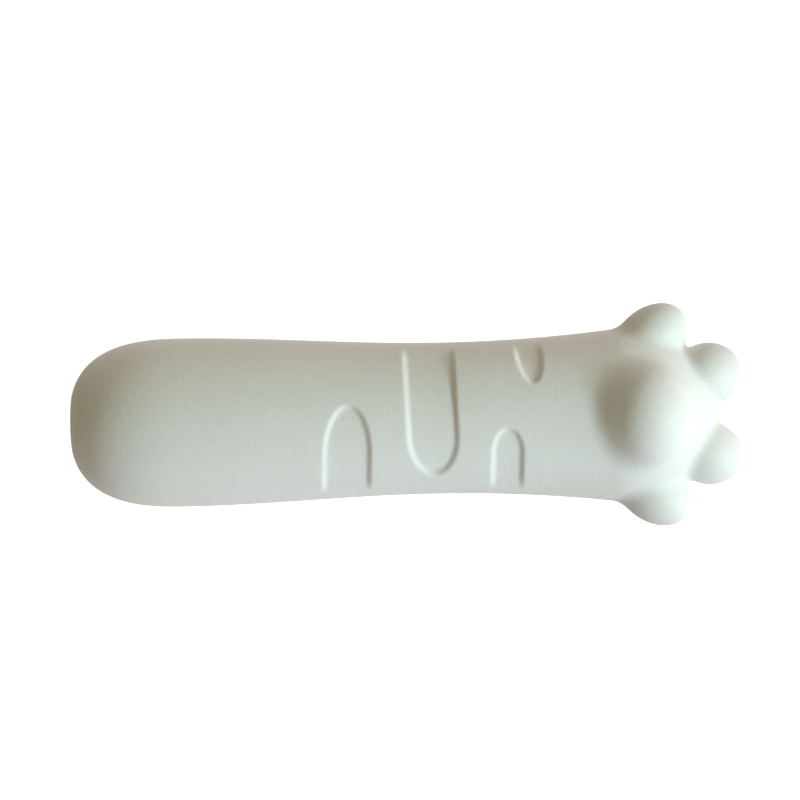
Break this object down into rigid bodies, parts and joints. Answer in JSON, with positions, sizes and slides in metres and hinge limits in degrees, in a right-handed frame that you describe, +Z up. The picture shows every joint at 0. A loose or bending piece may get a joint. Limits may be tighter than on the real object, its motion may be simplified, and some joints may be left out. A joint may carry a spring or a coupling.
{
  "type": "dog training bumper",
  "caption": "Soft white training bumper shaped as a cat's forepaw: a waisted leg with sunken stripes, a palm pad that squeaks, round toes and a screw plug in the flat heel.",
  "frame": {"origin": "under the middle of the bumper, on the surface that it lies on", "axes": "+X from the heel to the toes along the leg, +Z up out of the palm pad, +Y across the palm"},
  "size_m": [0.2499, 0.0826, 0.0726],
  "materials": {
    "soft_white_vinyl": "satin",
    "white_hard_plastic": "satin",
    "float_foam": "matte",
    "natural_polyethylene": "satin",
    "zinc_plated_steel": "satin",
    "brass": "satin",
    "black_rubber": "matte"
  },
  "bodies": {
    "bumper": {"palm_skin": "soft_white_vinyl", "back_skin": "soft_white_vinyl", "palm_float": "float_foam", "back_float": "float_foam", "core_tube": "natural_polyethylene", "tube_end_cap": "natural_polyethylene", "ballast_slug": "zinc_plated_steel", "spacer_rod": "float_foam", "squeaker_cup": "natural_polyethylene", "reed_holder": "white_hard_plastic", "squeaker_reed": "brass", "squeaker_bellows": "natural_polyethylene"},
    "squeaker": {"squeaker_button": "natural_polyethylene"},
    "seal": {"heel_seal": "black_rubber"},
    "plug": {"heel_plug": "white_hard_plastic"}
  },
  "joints": [
    {"name": "squeaker_press", "type": "slide", "parent": "bumper", "child": "squeaker", "axis": [0, 0, 1], "range_m": [-0.005, 0], "stiffness_N_per_m": 400, "deforming": ["squeaker_bellows"]},
    {"name": "plug_travel", "type": "slide", "parent": "bumper", "child": "seal", "axis": [-1, 0, 0], "range_m": [0, 0.014]},
    {"name": "plug_turn", "type": "hinge", "parent": "seal", "child": "plug", "pos_m": [-0.125, 0, 0.0314], "axis": [-1, 0, 0], "range_deg": [0, 1440]}
  ],
  "couplings": [
    {"joint": "plug_travel", "follows": "plug_turn", "m_per_rad": 0.00055704}
  ]
}
